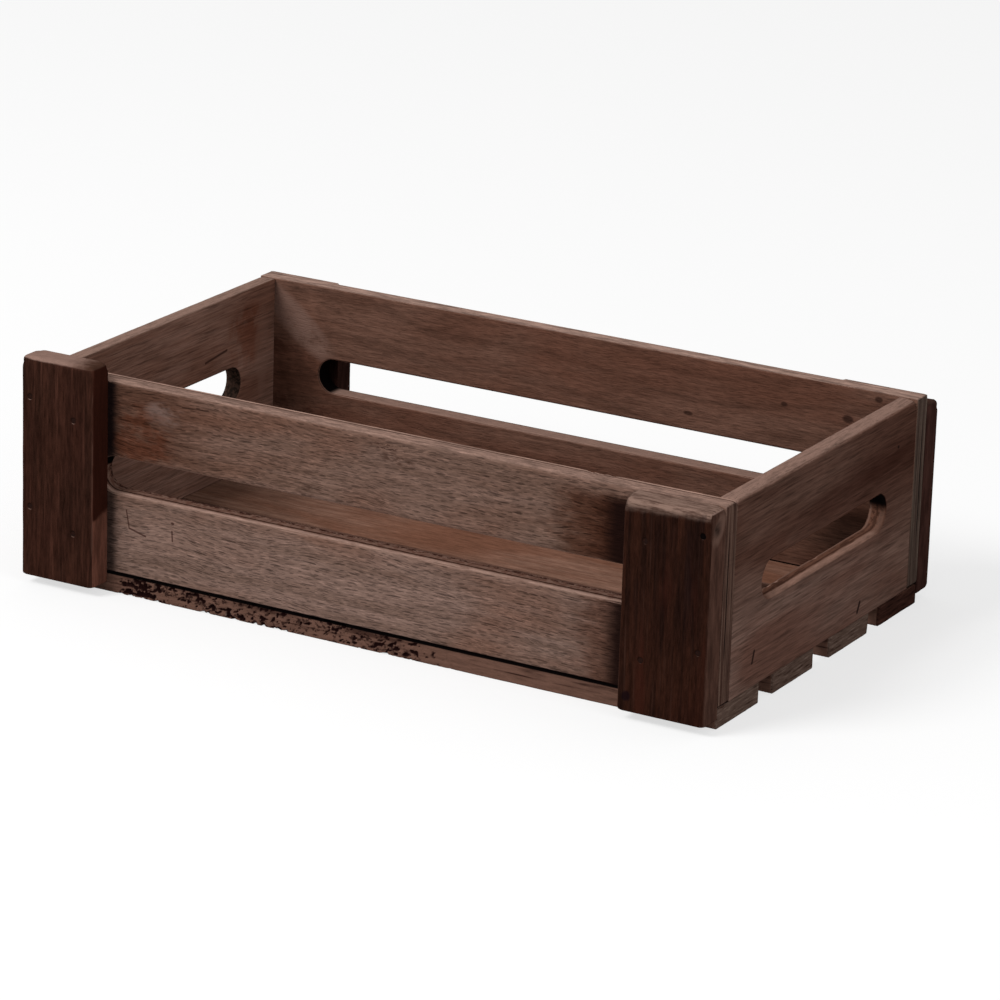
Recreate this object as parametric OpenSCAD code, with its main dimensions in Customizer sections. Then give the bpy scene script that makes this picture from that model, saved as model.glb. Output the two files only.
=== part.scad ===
// Slatted wooden bread crate with a routed slot in every side and four outer corner posts.
// X runs along the length, Y across the width and Z up. The origin is the middle of the base.
// All sizes are in millimetres.

/* [Crate] */
// Length over the two end boards
crate_length = 400; // [320:1:520]
// Width over the two side panels, without the posts
crate_width = 225; // [200:1:300]
// Height from the underside of the slats to the rim
crate_height = 114; // [105:1:160]

/* [Boards] */
// Thickness of the two side panels
panel_thickness = 12; // [9:0.5:18]
// Thickness of the two end boards
end_thickness = 10; // [9:0.5:18]
// Rounding of the outer edge along the rim, between the posts and over their tops
rim_round = 3; // [1.5:0.5:4]
// Easing of all other long edges
edge_ease = 0.8; // [0.4:0.1:1.2]

/* [Slots] */
// Easing of both mouths of every slot
slot_ease = 2; // [0.6:0.1:2.5]
// Height of the long slot in each side panel
side_slot_height = 19; // [12:0.5:24]
// Distance from the rim down to a side slot
side_slot_drop = 40.5; // [30:0.5:46]
// Distance from the end of a side panel to its slot
side_slot_margin = 39; // [25:1:60]
// Height of the handle slot in each end board
handle_height = 19; // [12:0.5:24]
// Distance from the rim down to a handle slot
handle_drop = 41.5; // [30:0.5:46]
// Length of the handle slot from end to end
handle_length = 138; // [80:1:145]
// Distance of the left handle slot from the middle, towards the front
left_handle_shift = 3; // [-5:0.5:5]
// Distance of the right handle slot from the middle, towards the front
right_handle_shift = 0; // [-5:0.5:5]

/* [Posts] */
// Thickness of the four corner posts
post_thickness = 14; // [10:0.5:18]
// Width of the two posts at the left end
left_post_width = 44; // [36:1:54]
// Width of the two posts at the right end
right_post_width = 48; // [36:1:54]
// How far the front left post stands above the rim
front_left_post_rise = 9.5; // [0:0.5:14]
// How far the front right post stops below the rim
front_right_post_drop = 0; // [0:0.5:8]
// How far the back posts stop below the rim
back_post_drop = 6; // [0:0.5:8]
// How far the posts stop above the underside of the slats
post_foot_gap = 5; // [2:0.5:10]

/* [Floor] */
// Width of one slat
slat_width = 45; // [36:1:48]
// Thickness of a slat
slat_thickness = 11; // [9:0.5:14]
// How far the third slat was laid off its even place, towards the back
third_slat_shift = 3; // [-4:0.5:4]

/* [Nails] */
// Diameter of every nail's shank
nail_diameter = 1.8; // [1.4:0.1:2.2]
// Diameter of every nail's head
head_diameter = 3.2; // [2.6:0.1:4]
// Thickness of every nail's head
head_thickness = 0.8; // [0.5:0.1:1.2]
// Depth of every nail's head below the wood
head_sink = 0.4; // [0.2:0.1:1]
// Free space around a nail in its hole
nail_clearance = 0.05; // [0.03:0.01:0.1]
// Depth of the long corner nails in the edge of an end board
corner_nail_bite = 18; // [12:1:20]
// Depth of the short post nails in a side panel
post_nail_bite = 8; // [5:0.5:8.5]
// Depth of the slat nails in the boards above the slats
slat_nail_bite = 21; // [12:1:22]
// Number of nails along each outer slat
side_nail_count = 4; // [2:1:6]

/* [Hidden] */

// Facets of the round edges, the round slot ends and the nails
edge_facets = 48;
slot_facets = 96;
nail_facets = 32;
// Overrun that lets a cutter pass right through a face
overrun = 1;

FRONT = -1;
BACK = 1;
LEFT = -1;
RIGHT = 1;

half_length = crate_length / 2;
half_width = crate_width / 2;
board_height = crate_height - slat_thickness;
end_board_span = crate_width - 2 * panel_thickness;
end_board_x = half_length - end_thickness / 2;
side_slot_bottom = crate_height - side_slot_drop - side_slot_height;
handle_bottom = crate_height - handle_drop - handle_height;
post_face_y = half_width + post_thickness;

// The outer slats lie flush with the side panels, and the others share the room between them
slat_count = 4;
slat_pitch = (crate_width - slat_width) / (slat_count - 1);

// Every nail reaches through its outer boards and bites into the last one
corner_nail_length = post_thickness + panel_thickness - head_sink + corner_nail_bite;
post_nail_length = post_thickness - head_sink + post_nail_bite;
slat_nail_length = slat_thickness - head_sink + slat_nail_bite;

// Corner nails lie in the middle of the end board's thickness, one near the rim and one between
// the handle slot and the points of the slat nails. Post nails lie in the two rails of a side panel.
nail_edge_distance = 12;
corner_nail_x = end_board_x;
corner_nail_zs = [(slat_thickness + slat_nail_bite + handle_bottom) / 2, crate_height - nail_edge_distance];
post_nail_zs = [(slat_thickness + side_slot_bottom) / 2, crate_height - side_slot_drop / 2];
side_nail_y = half_width - panel_thickness / 2;
side_nail_reach = half_length - end_thickness - nail_edge_distance / 2;

panel_colour = [0.40, 0.31, 0.27];
end_colour = [0.34, 0.26, 0.22];
post_colour = [0.19, 0.11, 0.09];
slat_colour = [0.43, 0.32, 0.27];
nail_colour = [0.16, 0.14, 0.13];

function post_width(end) = end == LEFT ? left_post_width : right_post_width;
function post_top(side, end) =
    side == BACK ? crate_height - back_post_drop :
    end == LEFT ? crate_height + front_left_post_rise :
    crate_height - front_right_post_drop;
function handle_shift(end) = end == LEFT ? left_handle_shift : right_handle_shift;
function slat_shift(i) = i == 2 ? third_slat_shift : 0;
function slat_start(i) = -half_width + i * slat_pitch + slat_shift(i);
function post_nail_x(end) = half_length - post_width(end) + nail_edge_distance;

// An outer slat takes its outer row of nails from the side panel above it
function is_outer(i) = i == 0 || i == slat_count - 1;
function slat_end_nail_ys(i) =
    i == 0 ? [slat_start(i) + slat_width - nail_edge_distance] :
    i == slat_count - 1 ? [slat_start(i) + nail_edge_distance] :
    [slat_start(i) + nail_edge_distance, slat_start(i) + slat_width - nail_edge_distance];

// One quarter-round notch, cut from the corner at the origin of a rectangle
module corner_notch(radius) {
    difference() {
        translate([-overrun, -overrun]) square(radius + overrun);
        translate([radius, radius]) circle(r = radius, $fn = edge_facets);
    }
}

// Rectangle with its corners rounded one by one, in the order left low, right low, right high, left high
module eased_rectangle(width, height, radii) {
    difference() {
        square([width, height]);
        corner_notch(radii[0]);
        translate([width, 0]) mirror([1, 0]) corner_notch(radii[1]);
        translate([width, height]) rotate(180) corner_notch(radii[2]);
        translate([0, height]) mirror([0, 1]) corner_notch(radii[3]);
    }
}

// Bar along X from the origin, with its section in Y and Z
module bar_along_x(length, width, height, radii) {
    rotate([90, 0, 90]) linear_extrude(length) eased_rectangle(width, height, radii);
}

// Cutter for a round-ended slot along X, centred on the origin and passing through the thickness in Y.
// Both mouths are eased with a chamfer.
module slot_cutter(length, height, thickness) {
    radius = height / 2;
    reach = length / 2 - radius;
    mouth = radius + slot_ease;
    for (x = [-reach, reach])
        translate([x, 0, 0]) rotate([90, 0, 0]) {
            cylinder(h = thickness + 2 * overrun, r = radius, center = true, $fn = slot_facets);
            for (flip = [0, 1]) mirror([0, 0, flip])
                translate([0, 0, thickness / 2 - slot_ease])
                    cylinder(h = slot_ease, r1 = radius, r2 = mouth, $fn = slot_facets);
        }
    translate([-reach, 0, 0]) rotate([90, 0, 90]) linear_extrude(2 * reach) polygon([
        [-thickness / 2 - overrun, -mouth], [-thickness / 2, -mouth],
        [-thickness / 2 + slot_ease, -radius], [thickness / 2 - slot_ease, -radius],
        [thickness / 2, -mouth], [thickness / 2 + overrun, -mouth],
        [thickness / 2 + overrun, mouth], [thickness / 2, mouth],
        [thickness / 2 - slot_ease, radius], [-thickness / 2 + slot_ease, radius],
        [-thickness / 2, mouth], [-thickness / 2 - overrun, mouth]
    ]);
}

// Nail along +Z with its point at the top and its head's outer face at the origin
module nail(length, gap = 0) {
    point = nail_diameter;
    cylinder(h = head_thickness + gap, r = head_diameter / 2 + gap, $fn = nail_facets);
    cylinder(h = length - point, r = nail_diameter / 2 + gap, $fn = nail_facets);
    translate([0, 0, length - point])
        cylinder(h = point + gap, r1 = nail_diameter / 2 + gap, r2 = nail_diameter / 8 + gap, $fn = nail_facets);
}

// Hole for a nail, open from the nail's head to the outside of the wood
module nail_hole(length) {
    nail(length, nail_clearance);
    translate([0, 0, -head_sink - overrun])
        cylinder(h = head_sink + overrun + nail_clearance, r = head_diameter / 2 + nail_clearance, $fn = nail_facets);
}

// Places its child with +Z pointing inwards from the outer face of a post
module from_post_face(side, x, z) {
    translate([x, side * (post_face_y - head_sink), z]) rotate([side * 90, 0, 0]) children();
}

// Places its child with +Z pointing up from the underside of the floor
module from_below(x, y) {
    translate([x, y, head_sink]) children();
}

// Corner nails of one side, or their holes
module at_corner_nails(side) {
    for (end = [LEFT, RIGHT], z = corner_nail_zs) from_post_face(side, end * corner_nail_x, z) children();
}

// Post nails of one side, or their holes
module at_post_nails(side) {
    for (end = [LEFT, RIGHT], z = post_nail_zs) from_post_face(side, end * post_nail_x(end), z) children();
}

// Nails through the outer slat of one side into the side panel above it
module at_side_nails(side) {
    for (i = [0 : side_nail_count - 1])
        from_below(side_nail_reach * (2 * i / (side_nail_count - 1) - 1), side * side_nail_y) children();
}

// Nails through both ends of one slat into the end boards
module at_end_nails(i) {
    for (end = [LEFT, RIGHT], y = slat_end_nail_ys(i)) from_below(end * corner_nail_x, y) children();
}

// Long side with its slot: grain and slot run along X. Its rim is rounded between the posts.
module side_panel(side) {
    color(panel_colour) difference() {
        mirror([0, side == FRONT ? 0 : 1, 0]) difference() {
            translate([-half_length, -half_width, slat_thickness])
                bar_along_x(crate_length, panel_thickness, board_height,
                    [edge_ease, edge_ease, edge_ease, edge_ease]);
            translate([-half_length + left_post_width, -half_width, crate_height]) rotate([90, 0, 90])
                linear_extrude(crate_length - left_post_width - right_post_width)
                    mirror([0, 1]) corner_notch(rim_round);
        }
        translate([0, side * (half_width - panel_thickness / 2), side_slot_bottom + side_slot_height / 2])
            slot_cutter(crate_length - 2 * side_slot_margin, side_slot_height, panel_thickness);
        at_corner_nails(side) nail_hole(corner_nail_length);
        at_post_nails(side) nail_hole(post_nail_length);
        at_side_nails(side) nail_hole(slat_nail_length);
    }
}

// Short end between the side panels, with its handle slot
module end_board(end) {
    color(end_colour) difference() {
        rotate([0, 0, end == RIGHT ? 90 : -90])
            translate([-end_board_span / 2, -half_length, slat_thickness])
                bar_along_x(end_board_span, end_thickness, board_height,
                    [edge_ease, edge_ease, edge_ease, rim_round]);
        translate([end * end_board_x, -handle_shift(end), handle_bottom + handle_height / 2])
            rotate([0, 0, 90]) slot_cutter(handle_length, handle_height, end_thickness);
        for (side = [FRONT, BACK]) at_corner_nails(side) nail_hole(corner_nail_length);
        for (i = [0 : slat_count - 1]) at_end_nails(i) nail_hole(slat_nail_length);
    }
}

// Upright on the outside of a side panel, flush with the end of the crate
module corner_post(side, end) {
    width = post_width(end);
    height = post_top(side, end) - post_foot_gap;
    color(post_colour) difference() {
        translate([end == LEFT ? -half_length : half_length - width, 0, 0])
            mirror([0, side == FRONT ? 0 : 1, 0])
                translate([0, -post_face_y, post_foot_gap]) intersection() {
                    bar_along_x(width, post_thickness, height, [edge_ease, edge_ease, edge_ease, rim_round]);
                    linear_extrude(height) eased_rectangle(width, post_thickness,
                        [rim_round / 2, rim_round / 2, edge_ease / 2, edge_ease / 2]);
                }
        at_corner_nails(side) nail_hole(corner_nail_length);
        at_post_nails(side) nail_hole(post_nail_length);
    }
}

// Floor slat along the whole length, below the panels and the end boards
module bottom_slat(i) {
    color(slat_colour) difference() {
        translate([-half_length, slat_start(i), 0])
            bar_along_x(crate_length, slat_width, slat_thickness, [edge_ease, edge_ease, edge_ease, edge_ease]);
        at_end_nails(i) nail_hole(slat_nail_length);
        if (is_outer(i)) at_side_nails(i == 0 ? FRONT : BACK) nail_hole(slat_nail_length);
    }
}

module front_side_panel() side_panel(FRONT);
module back_side_panel() side_panel(BACK);
module left_end_board() end_board(LEFT);
module right_end_board() end_board(RIGHT);
module front_left_post() corner_post(FRONT, LEFT);
module front_right_post() corner_post(FRONT, RIGHT);
module back_left_post() corner_post(BACK, LEFT);
module back_right_post() corner_post(BACK, RIGHT);
module bottom_slat_1() bottom_slat(0);
module bottom_slat_2() bottom_slat(1);
module bottom_slat_3() bottom_slat(2);
module bottom_slat_4() bottom_slat(3);

// Long nails: two at each corner, through post and panel into the end board
module corner_nails() color(nail_colour) for (side = [FRONT, BACK]) at_corner_nails(side) nail(corner_nail_length);

// Short nails: two to each post, into the panel behind it
module post_nails() color(nail_colour) for (side = [FRONT, BACK]) at_post_nails(side) nail(post_nail_length);

// Nails up through the outer slats into the side panels
module side_slat_nails() color(nail_colour) for (side = [FRONT, BACK]) at_side_nails(side) nail(slat_nail_length);

// Nails up through the ends of all slats into the end boards
module end_slat_nails() color(nail_colour) for (i = [0 : slat_count - 1]) at_end_nails(i) nail(slat_nail_length);

front_side_panel();
back_side_panel();
left_end_board();
right_end_board();
front_left_post();
front_right_post();
back_left_post();
back_right_post();
bottom_slat_1();
bottom_slat_2();
bottom_slat_3();
bottom_slat_4();
corner_nails();
post_nails();
side_slat_nails();
end_slat_nails();
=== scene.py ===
"""Looks of the wooden bread crate: boards with worn edges, and the wood, its stains and its marks."""

import math

import bmesh
import bpy
import numpy as np
from mathutils import Euler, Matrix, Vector, noise
from mathutils.geometry import delaunay_2d_cdt


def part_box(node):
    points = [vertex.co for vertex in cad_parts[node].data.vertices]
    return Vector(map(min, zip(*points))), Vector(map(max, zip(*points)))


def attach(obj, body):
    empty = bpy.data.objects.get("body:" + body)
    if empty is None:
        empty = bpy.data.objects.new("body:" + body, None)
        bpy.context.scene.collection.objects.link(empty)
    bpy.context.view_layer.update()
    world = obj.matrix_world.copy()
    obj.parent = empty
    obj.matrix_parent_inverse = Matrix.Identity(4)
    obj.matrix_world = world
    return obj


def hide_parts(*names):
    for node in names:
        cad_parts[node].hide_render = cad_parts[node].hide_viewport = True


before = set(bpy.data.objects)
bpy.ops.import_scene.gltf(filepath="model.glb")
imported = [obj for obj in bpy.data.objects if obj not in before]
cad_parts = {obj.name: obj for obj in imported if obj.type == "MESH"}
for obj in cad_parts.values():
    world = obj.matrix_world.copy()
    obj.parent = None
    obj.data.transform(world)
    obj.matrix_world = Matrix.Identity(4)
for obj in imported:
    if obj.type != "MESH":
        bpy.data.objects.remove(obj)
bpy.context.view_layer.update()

MM = 0.001
X, Y, Z = 0, 1, 2
LOW, HIGH = 0, 1


def face_of(node, axis, side):
    """Place of one side of a node's box, in millimetres."""
    return round(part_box(node)[side][axis] / MM, 3)


# Places of the boards, from the frame
PANEL_OUTER_Y = face_of("back_side_panel", Y, HIGH)
END_OUTER_X = face_of("right_end_board", X, HIGH)
LEFT_POST_X = face_of("front_left_post", X, HIGH)
RIGHT_POST_X = face_of("front_right_post", X, LOW)

# Sizes in millimetres that the boxes don't tell, as the solids have them, and the rounding of the rim
RIM_ROUND = 3.0
SLOT_Z = 64.0
SLOT_RADIUS = 9.5
SIDE_SLOT_REACH = 151.5
HANDLE_Z = 63.0
HANDLE_Y = {"left": -3.0, "right": 0.0}
HANDLE_REACH = 59.5
NAIL_HEAD = 1.6
CORNER_NAIL_X = 195.0
CORNER_NAIL_Z = (42.75, 102.0)
POST_NAIL_Z = (32.75, 93.75)
POST_NAIL_X = {"left": -168.0, "right": 164.0}


# Boards

# Steps across a rounded edge, as shares of its radius.
# The last one lies on the flat and keeps its shading flat.
ROUND_STEPS = (0.0, 0.12, 0.3, 0.55, 0.8, 1.0, 1.35)
DENT_DEPTH = 0.45
DENT_RINGS = (0.8, NAIL_HEAD, NAIL_HEAD + 0.15, NAIL_HEAD + 0.9)
DENT_POINTS = 16
TINY = 1e-9


def noise_at(points, *scale):
    """Smooth noise from -1 to 1 at each point, with its scale per millimetre along X, Y and Z."""
    return np.array([noise.noise(Vector(p)) for p in points * np.array(scale)])


def ramp_of(value, start, end):
    """Smooth step from 0 at start to 1 at end."""
    t = np.clip((value - start) / (end - start), 0, 1)
    return t * t * (3 - 2 * t)


class Slot:
    """Opening with round ends through a board, along its first in-plane axis.

    Its two lips are the roundings of its mouths, on the board's low and high side.
    """

    def __init__(self, u, v, reach, radius, lips):
        self.u, self.v, self.reach, self.radius, self.lips = u, v, reach, radius, lips

    def away(self, flat):
        """Distance of each point from the slot's wall, and the direction straight away from it."""
        middle = np.clip(flat[:, 0], self.u - self.reach, self.u + self.reach)
        out = flat - np.column_stack([middle, np.full(len(flat), self.v)])
        length = np.maximum(np.linalg.norm(out, axis=1), TINY)
        return length - self.radius, out / length[:, None]

    def ring(self, offset, step):
        """Points round the slot, the same number for every offset."""
        arc = max(8, int(math.pi * self.radius / step))
        run = max(1, int(2 * self.reach / step))
        points = []
        for side, start in ((1, -90), (-1, 90)):
            for i in range(arc):
                a = math.radians(start + 180 * i / arc)
                points.append((self.u + side * self.reach + (self.radius + offset) * math.cos(a),
                               self.v + (self.radius + offset) * math.sin(a)))
            for i in range(run):
                points.append((self.u + side * self.reach * (1 - 2 * i / run),
                               self.v + side * (self.radius + offset)))
        return points


def rectangle_ring(low, high, counts):
    """Points round a rectangle, with the number of steps along each of its two lengths."""
    (u0, v0), (u1, v1) = low, high
    nu, nv = counts
    points = [(u0 + (u1 - u0) * i / nu, v0) for i in range(nu)]
    points += [(u1, v0 + (v1 - v0) * i / nv) for i in range(nv)]
    points += [(u1 - (u1 - u0) * i / nu, v1) for i in range(nu)]
    points += [(u0, v1 - (v1 - v0) * i / nv) for i in range(nv)]
    return points


class Blank:
    """Board with sharp edges, as points and faces in millimetres, from the box of its CAD node.

    w is the axis through its thickness, and u and v are the axes of its wide faces.
    """

    def __init__(self, node, step, wall_step, grid):
        self.low, self.high = (np.round(np.array(corner) / MM, 3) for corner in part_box(node))
        size = self.high - self.low
        self.w = int(np.argmin(size))
        self.u, self.v = [axis for axis in range(3) if axis != self.w]
        self.counts = [max(2, round(size[axis] / step)) for axis in (self.u, self.v)]
        self.step, self.wall_step, self.grid = step, wall_step, grid
        self.points, self.faces = [], []

    def outline(self, insets=(0.0, 0.0, 0.0, 0.0)):
        """Ring of points round the board's wide face, drawn in from its four sides."""
        left, right, bottom, top = insets
        start = self.low[self.u] + left, self.low[self.v] + bottom
        end = self.high[self.u] - right, self.high[self.v] - top
        return rectangle_ring(start, end, self.counts)

    def add_points(self, flat, level):
        """Points of a plane across the thickness, at its height."""
        for a, b in flat:
            point = [0.0, 0.0, 0.0]
            point[self.u], point[self.v], point[self.w] = a, b, level
            self.points.append(point)

    def levels(self, low_sizes, high_sizes):
        """Heights of the rings through the thickness: fine in the roundings, then even."""
        low, high = self.low[self.w], self.high[self.w]
        marks = {round(low + s * size, 4) for size in low_sizes for s in ROUND_STEPS}
        marks |= {round(high - s * size, 4) for size in high_sizes for s in ROUND_STEPS}
        inner = sorted(m for m in marks if low <= m <= high)
        result = [inner[0]]
        for mark in inner[1:]:
            gap = mark - result[-1]
            parts = max(1, round(gap / self.wall_step))
            if gap > 0.05:
                result += [result[-1] + gap * i / parts for i in range(1, parts + 1)]
        result[-1] = high
        return result

    def add_walls(self, ring, levels):
        """Wall of quads that follows a ring through the thickness."""
        start, n = len(self.points), len(ring)
        for level in levels:
            self.add_points(ring, level)
        for j in range(len(levels) - 1):
            lower, upper = start + j * n, start + (j + 1) * n
            for i in range(n):
                k = (i + 1) % n
                self.faces.append([lower + i, lower + k, upper + k, upper + i])

    def filling(self, side, margin, slots, dents):
        """Even grid of points on a wide face, clear of its borders, slots and dents."""
        low, high = self.low[[self.u, self.v]], self.high[[self.u, self.v]]
        columns, rows = (np.linspace(a, b, 2 + int((b - a) / self.grid))[1:-1] for a, b in zip(low, high))
        grid = np.array([(a, b) for a in columns for b in rows])
        keep = np.minimum(grid - low, high - grid).min(axis=1) > margin
        for slot in slots:
            keep &= slot.away(grid)[0] > 2 * slot.lips[side]
        for _, a, b in dents:
            keep &= np.hypot(grid[:, 0] - a, grid[:, 1] - b) > NAIL_HEAD + 1.5
        return [tuple(p) for p in grid[keep]]

    def add_wide_face(self, side, insets, margin, slots, dents):
        """Wide face of triangles, fine along its borders, its slots and its dents."""
        flat, borders = [], []
        for share in ROUND_STEPS:
            rings = [self.outline([inset * share for inset in insets])]
            rings += [slot.ring(share * slot.lips[side], self.step) for slot in slots]
            for ring in rings:
                if share == 0:
                    start, n = len(flat), len(ring)
                    borders += [(start + i, start + (i + 1) % n) for i in range(n)]
                flat += ring
        for dent_side, a, b in dents:
            if dent_side == side:
                for r in DENT_RINGS:
                    turns = [i * math.tau / DENT_POINTS for i in range(DENT_POINTS)]
                    flat += [(a + r * math.cos(turn), b + r * math.sin(turn)) for turn in turns]
        flat += self.filling(side, margin, slots, dents)
        found, _, triangles, *_ = delaunay_2d_cdt([Vector(p) for p in flat], borders, [], 0, 1e-5)
        found = np.array([tuple(p) for p in found])
        middle = np.array([found[list(t)].mean(axis=0) for t in triangles])
        solid = np.ones(len(triangles), bool)
        for slot in slots:
            solid &= slot.away(middle)[0] > 0
        start = len(self.points)
        self.add_points(found, (self.low, self.high)[side][self.w])
        self.faces += [[start + i for i in t] for t, s in zip(triangles, solid) if s]

    def merge(self):
        """Makes one point of those that coincide, and turns the points into an array."""
        points = np.array(self.points)
        _, first, same = np.unique(np.round(points, 3), axis=0, return_index=True, return_inverse=True)
        same = same.reshape(-1)
        faces = [list(dict.fromkeys(int(same[i]) for i in face)) for face in self.faces]
        self.points, self.faces = points[first], [face for face in faces if len(face) > 2]


def round_edges(blank, ease, rounds):
    """The points with the box's edges rounded, their inward directions, and their nearness to an edge."""
    low, high, points = blank.low, blank.high, blank.points
    near = np.stack([points - low, high - points], axis=1)
    size = np.full(len(points), float(ease))
    for a, side_a, b, side_b, radius, *span in rounds:
        lengthwise = points[:, 3 - a - b]
        start, end = span or (-math.inf, math.inf)
        far = np.maximum(near[:, side_a, a], near[:, side_b, b])
        close = 1 - ramp_of(far, 1.05 * radius, 2.0 * radius)
        close *= (lengthwise >= start) & (lengthwise <= end)
        size = size + (radius - size) * close
    core = np.clip(points, low + size[:, None], high - size[:, None])
    out = points - core
    length = np.linalg.norm(out, axis=1)
    inward = -out / np.maximum(length, TINY)[:, None]
    pulled = length > size + 1e-6
    shaped = points.copy()
    shaped[pulled] = core[pulled] - inward[pulled] * size[pulled, None]
    edge = np.clip((length / np.maximum(size, TINY) - 1) / 0.35, 0, 1)
    edge[~pulled] = 0
    return shaped, inward, edge


def round_mouths(blank, slot, shaped, inward, edge):
    """Rounds both mouths of a slot, and points the inward directions of its wall into the wood."""
    flat_axes = [blank.u, blank.v]
    away, direction = slot.away(blank.points[:, flat_axes])
    away = np.maximum(away, 0)
    for side, sign in ((LOW, 1), (HIGH, -1)):
        lip = slot.lips[side]
        depth = (blank.points[:, blank.w] - (blank.low, blank.high)[side][blank.w]) * sign
        a, b = lip - away, lip - depth
        reach = np.hypot(a, b)
        at_lip = (away < lip) & (depth < lip) & (reach > lip)
        scale = 1 - lip / reach[at_lip]
        move = np.zeros((at_lip.sum(), 3))
        move[:, flat_axes] = direction[at_lip] * (a[at_lip] * scale)[:, None]
        move[:, blank.w] = sign * b[at_lip] * scale
        shaped[at_lip] = blank.points[at_lip] + move
        edge[at_lip] = np.clip((reach[at_lip] / lip - 1) / 0.35, 0, 1)
        inward[at_lip] = move / np.maximum(np.linalg.norm(move, axis=1), TINY)[:, None]
    wall = (away < 1e-6) & (edge == 0)
    inward[wall] = 0
    inward[np.ix_(wall, flat_axes)] = direction[wall]


def wear_down(shaped, inward, edge, wear, chips, rough):
    """Wears the edges, breaks the chips out and tears the rough places. Gives each point's pit, 0 to 1."""
    cut, pit = np.zeros(len(shaped)), np.zeros(len(shaped))
    worn = np.flatnonzero(edge > 0)
    soft = noise_at(shaped[worn], 0.06, 0.06, 0.06) + 0.5 * noise_at(shaped[worn], 0.35, 0.35, 0.35)
    cut[worn] += wear * edge[worn] * np.clip(0.35 + soft, 0, 1.2)
    for x, y, z, size_x, size_y, size_z, depth in chips:
        far = np.linalg.norm((shaped - (x, y, z)) / (size_x, size_y, size_z), axis=1)
        inside = np.flatnonzero(far < 1)
        ragged = 0.75 + 0.6 * noise_at(shaped[inside], 0.9, 0.9, 0.9)
        share = np.clip(1 - far[inside] ** 2, 0, 1) * ragged
        cut[inside] += depth * share
        pit[inside] = np.maximum(pit[inside], np.clip(share, 0, 1))
    if rough:
        torn = rough(shaped)
        cut += torn
        pit = np.maximum(pit, np.clip(torn / 0.8, 0, 1))
    shaped += inward * cut[:, None]
    return pit


def board(node, name, step, ease=0.6, rounds=(), slots=(), dents=(), wear=0.25, chips=(),
          wall_step=3.0, rough=None, grid=7.0):
    """Closed mesh that stands for a CAD board, with rounded and worn edges.

    step, wall_step, grid: the mesh's steps along the outline, through the board and on its faces.
    ease: radius of the edges.
    rounds: (axis, side, axis, side, radius) of an edge that is rounder than ease, and where only
        a part of the edge is, also the start and the end of that part.
    dents: (side, u, v) of the nail heads in a wide face.
    wear: greatest depth of the wear along the edges.
    chips: (x, y, z, size along x, y, z, depth) of broken places.
    rough: function of the points that gives how deep the surface is torn at each.
    """
    blank = Blank(node, step, wall_step, grid)
    u, v, w = blank.u, blank.v, blank.w
    radius = np.full((3, 2, 3, 2), ease)
    for a, side_a, b, side_b, size, *_ in rounds:
        radius[a, side_a, b, side_b] = radius[b, side_b, a, side_a] = size
    insets = [[radius[w, side, axis, end] for axis in (u, v) for end in (LOW, HIGH)]
              for side in (LOW, HIGH)]
    blank.add_walls(blank.outline(), blank.levels(set(insets[LOW]), set(insets[HIGH])))
    for slot in slots:
        blank.add_walls(slot.ring(0, step), blank.levels({slot.lips[LOW]}, {slot.lips[HIGH]}))
    margin = 1.6 * max(insets[LOW] + insets[HIGH])
    for side in (LOW, HIGH):
        blank.add_wide_face(side, insets[side], margin, slots, dents)
    blank.merge()

    shaped, inward, edge = round_edges(blank, ease, rounds)
    for slot in slots:
        round_mouths(blank, slot, shaped, inward, edge)
    pit = wear_down(shaped, inward, edge, wear, chips, rough)
    for side, a, b in dents:
        on_face = np.abs(blank.points[:, w] - (blank.low, blank.high)[side][w]) < 1e-6
        far = np.hypot(blank.points[:, u] - a, blank.points[:, v] - b)
        shaped[on_face & (far < NAIL_HEAD + 0.05), w] += DENT_DEPTH if side == LOW else -DENT_DEPTH
        pit[on_face & (far < NAIL_HEAD + 0.3)] = 1

    mesh = bpy.data.meshes.new(name)
    mesh.from_pydata((shaped * MM).tolist(), [], blank.faces)
    mesh.update()
    for label, values in (("edge", edge), ("pit", pit)):
        mesh.attributes.new(label, "FLOAT", "POINT").data.foreach_set("value", values.astype(np.float32))
    outwards(mesh)
    mesh.shade_smooth()
    piece = bpy.data.objects.new(name, mesh)
    bpy.context.scene.collection.objects.link(piece)
    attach(piece, "root")
    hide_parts(node)
    return piece


def outwards(mesh):
    """Turns every face so that it faces out."""
    work = bmesh.new()
    work.from_mesh(mesh)
    bmesh.ops.recalc_face_normals(work, faces=work.faces)
    work.to_mesh(mesh)
    work.free()


# Fields and colours

def srgb(red, green, blue):
    """Linear colour from the usual 0 to 255 numbers."""
    def linear(c):
        c /= 255
        return c / 12.92 if c <= 0.04045 else ((c + 0.055) / 1.055) ** 2.4
    return (linear(red), linear(green), linear(blue), 1.0)


def connect(graph, socket, value):
    """Gives a socket a field, a colour or a plain number."""
    if isinstance(value, Field):
        graph.links.new(value.socket, socket)
    elif isinstance(value, tuple):
        socket.default_value = value[:len(socket.default_value)]
    else:
        socket.default_value = value


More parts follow.
